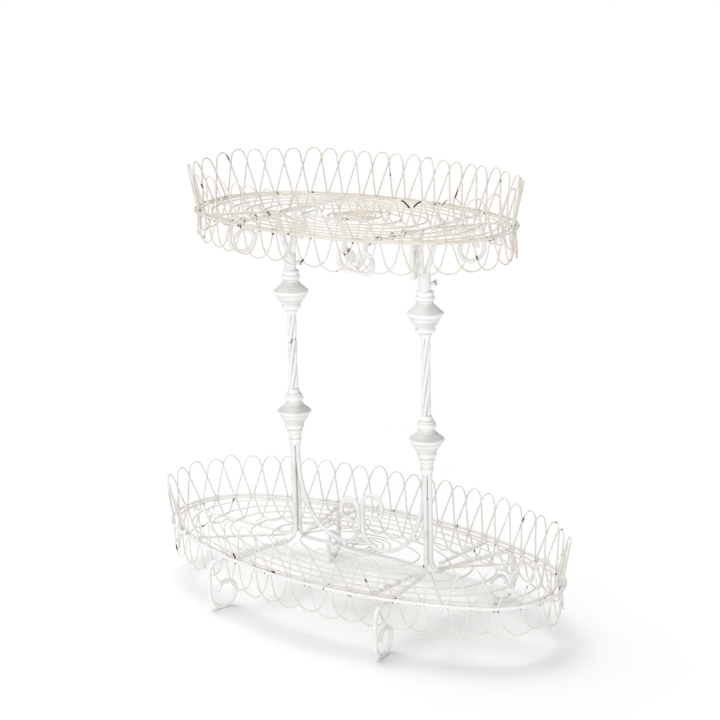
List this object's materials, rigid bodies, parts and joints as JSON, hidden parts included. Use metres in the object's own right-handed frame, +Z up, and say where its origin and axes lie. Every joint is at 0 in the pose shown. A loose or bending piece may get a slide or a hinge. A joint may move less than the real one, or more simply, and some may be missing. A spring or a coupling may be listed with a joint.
{
  "type": "tiered wire basket",
  "caption": "Tiered oval basket stand of looped iron wire on turned columns, with scroll feet and an upper tier whose pegs lift out of clamped sockets",
  "frame": {"origin": "ground under the middle of the oval, halfway between the columns", "axes": "+X along the ovals through both columns, +Y to the back, +Z up"},
  "size_m": [0.7172, 0.3561, 0.6659],
  "materials": {
    "white_iron": "satin",
    "ivory_wire": "satin",
    "screw_metal": "worn"
  },
  "bodies": {
    "stand": {"collar_left": "white_iron", "collar_right": "white_iron", "lower_arm_left": "white_iron", "lower_arm_right": "white_iron", "lower_bead_left": "white_iron", "lower_bead_right": "white_iron", "lower_brace_left": "white_iron", "lower_brace_right": "white_iron", "lower_centre_bar": "white_iron", "lower_cross_bars": "white_iron", "lower_diagonal_bars": "ivory_wire", "lower_floor_rings": "ivory_wire", "lower_inner_rim": "ivory_wire", "lower_leg_back_left": "white_iron", "lower_leg_back_right": "white_iron", "lower_leg_front_left": "white_iron", "lower_leg_front_right": "white_iron", "lower_loops_inner": "ivory_wire", "lower_loops_outer": "ivory_wire", "lower_outer_rim": "white_iron", "lower_rosette": "ivory_wire", "socket_left": "white_iron", "socket_right": "white_iron", "twisted_shaft_left": "white_iron", "twisted_shaft_right": "white_iron", "upper_bead_left": "white_iron", "upper_bead_right": "white_iron"},
    "upper_tier": {"upper_arm_left": "white_iron", "upper_arm_right": "white_iron", "upper_brace_left": "white_iron", "upper_brace_right": "white_iron", "upper_cross_bars": "white_iron", "upper_diagonal_bars": "ivory_wire", "upper_floor_rings": "ivory_wire", "upper_inner_rim": "ivory_wire", "upper_leg_back_left": "white_iron", "upper_leg_back_right": "white_iron", "upper_leg_front_left": "white_iron", "upper_leg_front_right": "white_iron", "upper_loops_inner": "ivory_wire", "upper_loops_outer": "ivory_wire", "upper_outer_rim": "white_iron", "upper_rosette": "ivory_wire", "peg_left": "white_iron", "peg_right": "white_iron"},
    "wing_screw_left": {"wing_screw_left": "screw_metal"},
    "wing_screw_right": {"wing_screw_right": "screw_metal"}
  },
  "joints": [
    {"name": "upper_tier_lift", "type": "slide", "parent": "stand", "child": "upper_tier", "axis": [0, 0, 1], "range_m": [0, 0.06]},
    {"name": "wing_screw_left_turn", "type": "hinge", "parent": "stand", "child": "wing_screw_left", "pos_m": [-0.1225, 0, 0.514], "axis": [0.8192, 0.5736, 0], "range_deg": [0, 450]},
    {"name": "wing_screw_right_turn", "type": "hinge", "parent": "stand", "child": "wing_screw_right", "pos_m": [0.1315, 0, 0.514], "axis": [0.8192, 0.5736, 0], "range_deg": [0, 450]}
  ]
}
